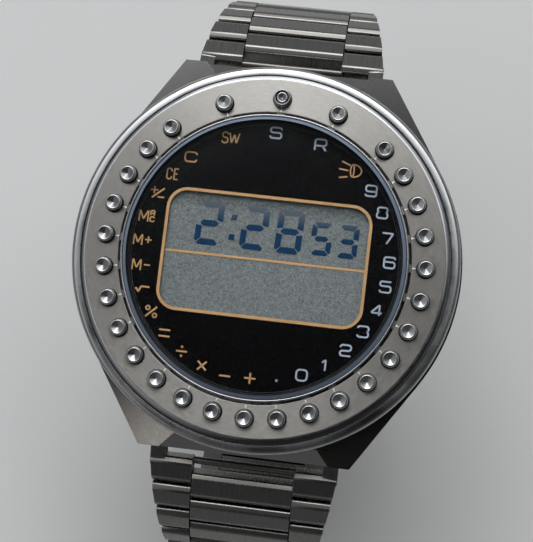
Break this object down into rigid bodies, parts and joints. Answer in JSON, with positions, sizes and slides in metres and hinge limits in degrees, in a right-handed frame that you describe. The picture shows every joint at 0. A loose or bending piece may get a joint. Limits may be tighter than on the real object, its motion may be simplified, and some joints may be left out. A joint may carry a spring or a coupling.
{
  "type": "calculator watch",
  "caption": "Round digital wristwatch with a ring of push keys about its dial, on a steel link bracelet with a folding clasp.",
  "frame": {"origin": "middle of the case back's outer face", "axes": "+Z out of the dial, +Y towards 12 o'clock, +X towards 3 o'clock"},
  "size_m": [0.0416, 0.0661, 0.051],
  "materials": {
    "case_steel": "satin, polished at the flanks",
    "rim_steel": "polished",
    "ring_steel": "brushed round the ring",
    "key_steel": "polished",
    "crystal_glass": "clear",
    "gasket_rubber": "matt",
    "dial_black": "gloss",
    "lcd_glass": "gloss over a grey reflector",
    "module_plastic": "matt",
    "board_laminate": "satin",
    "chip_resin": "matt",
    "can_metal": "satin",
    "battery_steel": "satin",
    "clamp_steel": "satin",
    "lamp_glass": "clear",
    "strip_rubber": "matt",
    "contact_film": "satin",
    "band_steel": "brushed along the band",
    "clasp_steel": "brushed",
    "bar_steel": "satin"
  },
  "bodies": {
    "case": {"case_body": "case_steel", "outer_rim": "rim_steel", "key_ring": "ring_steel", "setting_collar": "key_steel", "crystal": "crystal_glass", "crystal_gasket": "gasket_rubber", "crystal_ring": "rim_steel", "dial_plate": "dial_black", "lcd_panel": "lcd_glass", "lcd_connectors": "strip_rubber", "module_frame": "module_plastic", "lamp": "lamp_glass", "circuit_board": "board_laminate", "processor_chip": "chip_resin", "timing_crystal": "can_metal", "battery": "battery_steel", "battery_clamp": "clamp_steel", "key_membrane": "strip_rubber", "contact_ring": "contact_film", "case_back": "case_steel", "back_gasket": "gasket_rubber", "spring_bars": "bar_steel"},
    "upper_band_1": {"upper_band_1": "band_steel"},
    "upper_band_2": {"upper_band_2": "band_steel"},
    "upper_band_3": {"upper_band_3": "band_steel"},
    "lower_band_1": {"lower_band_1": "band_steel"},
    "lower_band_2": {"lower_band_2": "band_steel"},
    "lower_band_3": {"lower_band_3": "band_steel"},
    "clasp_cover": {"clasp_cover": "clasp_steel"},
    "clasp_outer_blade": {"clasp_outer_blade": "clasp_steel"},
    "clasp_inner_blade": {"clasp_inner_blade": "clasp_steel"},
    "key_setting": {"key_setting": "key_steel"},
    "key_recall": {"key_recall": "key_steel"},
    "key_light": {"key_light": "key_steel"},
    "key_nine": {"key_nine": "key_steel"},
    "key_eight": {"key_eight": "key_steel"},
    "key_seven": {"key_seven": "key_steel"},
    "key_six": {"key_six": "key_steel"},
    "key_five": {"key_five": "key_steel"},
    "key_four": {"key_four": "key_steel"},
    "key_three": {"key_three": "key_steel"},
    "key_two": {"key_two": "key_steel"},
    "key_one": {"key_one": "key_steel"},
    "key_zero": {"key_zero": "key_steel"},
    "key_point": {"key_point": "key_steel"},
    "key_plus": {"key_plus": "key_steel"},
    "key_minus": {"key_minus": "key_steel"},
    "key_times": {"key_times": "key_steel"},
    "key_divide": {"key_divide": "key_steel"},
    "key_equals": {"key_equals": "key_steel"},
    "key_percent": {"key_percent": "key_steel"},
    "key_root": {"key_root": "key_steel"},
    "key_memory_minus": {"key_memory_minus": "key_steel"},
    "key_memory_plus": {"key_memory_plus": "key_steel"},
    "key_memory": {"key_memory": "key_steel"},
    "key_sign": {"key_sign": "key_steel"},
    "key_clear_entry": {"key_clear_entry": "key_steel"},
    "key_clear": {"key_clear": "key_steel"},
    "key_switch": {"key_switch": "key_steel"}
  },
  "joints": [
    {"name": "upper_bar_hinge", "type": "hinge", "parent": "case", "child": "upper_band_1", "pos_m": [0, 0.0199, 0.00275], "axis": [1, 0, 0], "range_deg": [0, 25]},
    {"name": "upper_first_hinge", "type": "hinge", "parent": "upper_band_1", "child": "upper_band_2", "pos_m": [0, 0.02737, -0.00209], "axis": [1, 0, 0], "range_deg": [0, 20]},
    {"name": "upper_second_hinge", "type": "hinge", "parent": "upper_band_2", "child": "upper_band_3", "pos_m": [0, 0.02811, -0.02577], "axis": [1, 0, 0], "range_deg": [0, 16]},
    {"name": "lower_bar_hinge", "type": "hinge", "parent": "case", "child": "lower_band_1", "pos_m": [0, -0.0199, 0.00275], "axis": [-1, 0, 0], "range_deg": [0, 25]},
    {"name": "lower_first_hinge", "type": "hinge", "parent": "lower_band_1", "child": "lower_band_2", "pos_m": [0, -0.02784, -0.00126], "axis": [-1, 0, 0], "range_deg": [0, 10]},
    {"name": "lower_second_hinge", "type": "hinge", "parent": "lower_band_2", "child": "lower_band_3", "pos_m": [0, -0.02822, -0.02463], "axis": [-1, 0, 0], "range_deg": [0, 12]},
    {"name": "clasp_band_hinge", "type": "hinge", "parent": "lower_band_3", "child": "clasp_inner_blade", "pos_m": [0, -0.01749, -0.0338], "axis": [-1, 0, 0], "range_deg": [0, 18]},
    {"name": "clasp_fold_hinge", "type": "hinge", "parent": "clasp_inner_blade", "child": "clasp_outer_blade", "pos_m": [0, 0.0135, -0.03614], "axis": [1, 0, 0], "range_deg": [0, 115]},
    {"name": "clasp_cover_hinge", "type": "hinge", "parent": "clasp_outer_blade", "child": "clasp_cover", "pos_m": [0, -0.01372, -0.0368], "axis": [-1, 0, 0], "range_deg": [0, 115]},
    {"name": "key_setting_press", "type": "slide", "parent": "case", "child": "key_setting", "axis": [0, 0, -1], "range_m": [0, 0.00045], "stiffness_N_per_m": 800},
    {"name": "key_recall_press", "type": "slide", "parent": "case", "child": "key_recall", "axis": [0, 0, -1], "range_m": [0, 0.00045], "stiffness_N_per_m": 800},
    {"name": "key_light_press", "type": "slide", "parent": "case", "child": "key_light", "axis": [0, 0, -1], "range_m": [0, 0.00045], "stiffness_N_per_m": 800},
    {"name": "key_nine_press", "type": "slide", "parent": "case", "child": "key_nine", "axis": [0, 0, -1], "range_m": [0, 0.00045], "stiffness_N_per_m": 800},
    {"name": "key_eight_press", "type": "slide", "parent": "case", "child": "key_eight", "axis": [0, 0, -1], "range_m": [0, 0.00045], "stiffness_N_per_m": 800},
    {"name": "key_seven_press", "type": "slide", "parent": "case", "child": "key_seven", "axis": [0, 0, -1], "range_m": [0, 0.00045], "stiffness_N_per_m": 800},
    {"name": "key_six_press", "type": "slide", "parent": "case", "child": "key_six", "axis": [0, 0, -1], "range_m": [0, 0.00045], "stiffness_N_per_m": 800},
    {"name": "key_five_press", "type": "slide", "parent": "case", "child": "key_five", "axis": [0, 0, -1], "range_m": [0, 0.00045], "stiffness_N_per_m": 800},
    {"name": "key_four_press", "type": "slide", "parent": "case", "child": "key_four", "axis": [0, 0, -1], "range_m": [0, 0.00045], "stiffness_N_per_m": 800},
    {"name": "key_three_press", "type": "slide", "parent": "case", "child": "key_three", "axis": [0, 0, -1], "range_m": [0, 0.00045], "stiffness_N_per_m": 800},
    {"name": "key_two_press", "type": "slide", "parent": "case", "child": "key_two", "axis": [0, 0, -1], "range_m": [0, 0.00045], "stiffness_N_per_m": 800},
    {"name": "key_one_press", "type": "slide", "parent": "case", "child": "key_one", "axis": [0, 0, -1], "range_m": [0, 0.00045], "stiffness_N_per_m": 800},
    {"name": "key_zero_press", "type": "slide", "parent": "case", "child": "key_zero", "axis": [0, 0, -1], "range_m": [0, 0.00045], "stiffness_N_per_m": 800},
    {"name": "key_point_press", "type": "slide", "parent": "case", "child": "key_point", "axis": [0, 0, -1], "range_m": [0, 0.00045], "stiffness_N_per_m": 800},
    {"name": "key_plus_press", "type": "slide", "parent": "case", "child": "key_plus", "axis": [0, 0, -1], "range_m": [0, 0.00045], "stiffness_N_per_m": 800},
    {"name": "key_minus_press", "type": "slide", "parent": "case", "child": "key_minus", "axis": [0, 0, -1], "range_m": [0, 0.00045], "stiffness_N_per_m": 800},
    {"name": "key_times_press", "type": "slide", "parent": "case", "child": "key_times", "axis": [0, 0, -1], "range_m": [0, 0.00045], "stiffness_N_per_m": 800},
    {"name": "key_divide_press", "type": "slide", "parent": "case", "child": "key_divide", "axis": [0, 0, -1], "range_m": [0, 0.00045], "stiffness_N_per_m": 800},
    {"name": "key_equals_press", "type": "slide", "parent": "case", "child": "key_equals", "axis": [0, 0, -1], "range_m": [0, 0.00045], "stiffness_N_per_m": 800},
    {"name": "key_percent_press", "type": "slide", "parent": "case", "child": "key_percent", "axis": [0, 0, -1], "range_m": [0, 0.00045], "stiffness_N_per_m": 800},
    {"name": "key_root_press", "type": "slide", "parent": "case", "child": "key_root", "axis": [0, 0, -1], "range_m": [0, 0.00045], "stiffness_N_per_m": 800},
    {"name": "key_memory_minus_press", "type": "slide", "parent": "case", "child": "key_memory_minus", "axis": [0, 0, -1], "range_m": [0, 0.00045], "stiffness_N_per_m": 800},
    {"name": "key_memory_plus_press", "type": "slide", "parent": "case", "child": "key_memory_plus", "axis": [0, 0, -1], "range_m": [0, 0.00045], "stiffness_N_per_m": 800},
    {"name": "key_memory_press", "type": "slide", "parent": "case", "child": "key_memory", "axis": [0, 0, -1], "range_m": [0, 0.00045], "stiffness_N_per_m": 800},
    {"name": "key_sign_press", "type": "slide", "parent": "case", "child": "key_sign", "axis": [0, 0, -1], "range_m": [0, 0.00045], "stiffness_N_per_m": 800},
    {"name": "key_clear_entry_press", "type": "slide", "parent": "case", "child": "key_clear_entry", "axis": [0, 0, -1], "range_m": [0, 0.00045], "stiffness_N_per_m": 800},
    {"name": "key_clear_press", "type": "slide", "parent": "case", "child": "key_clear", "axis": [0, 0, -1], "range_m": [0, 0.00045], "stiffness_N_per_m": 800},
    {"name": "key_switch_press", "type": "slide", "parent": "case", "child": "key_switch", "axis": [0, 0, -1], "range_m": [0, 0.00045], "stiffness_N_per_m": 800}
  ],
  "couplings": [
    {"joint": "clasp_fold_hinge", "follows": "clasp_cover_hinge", "ratio": 1}
  ]
}
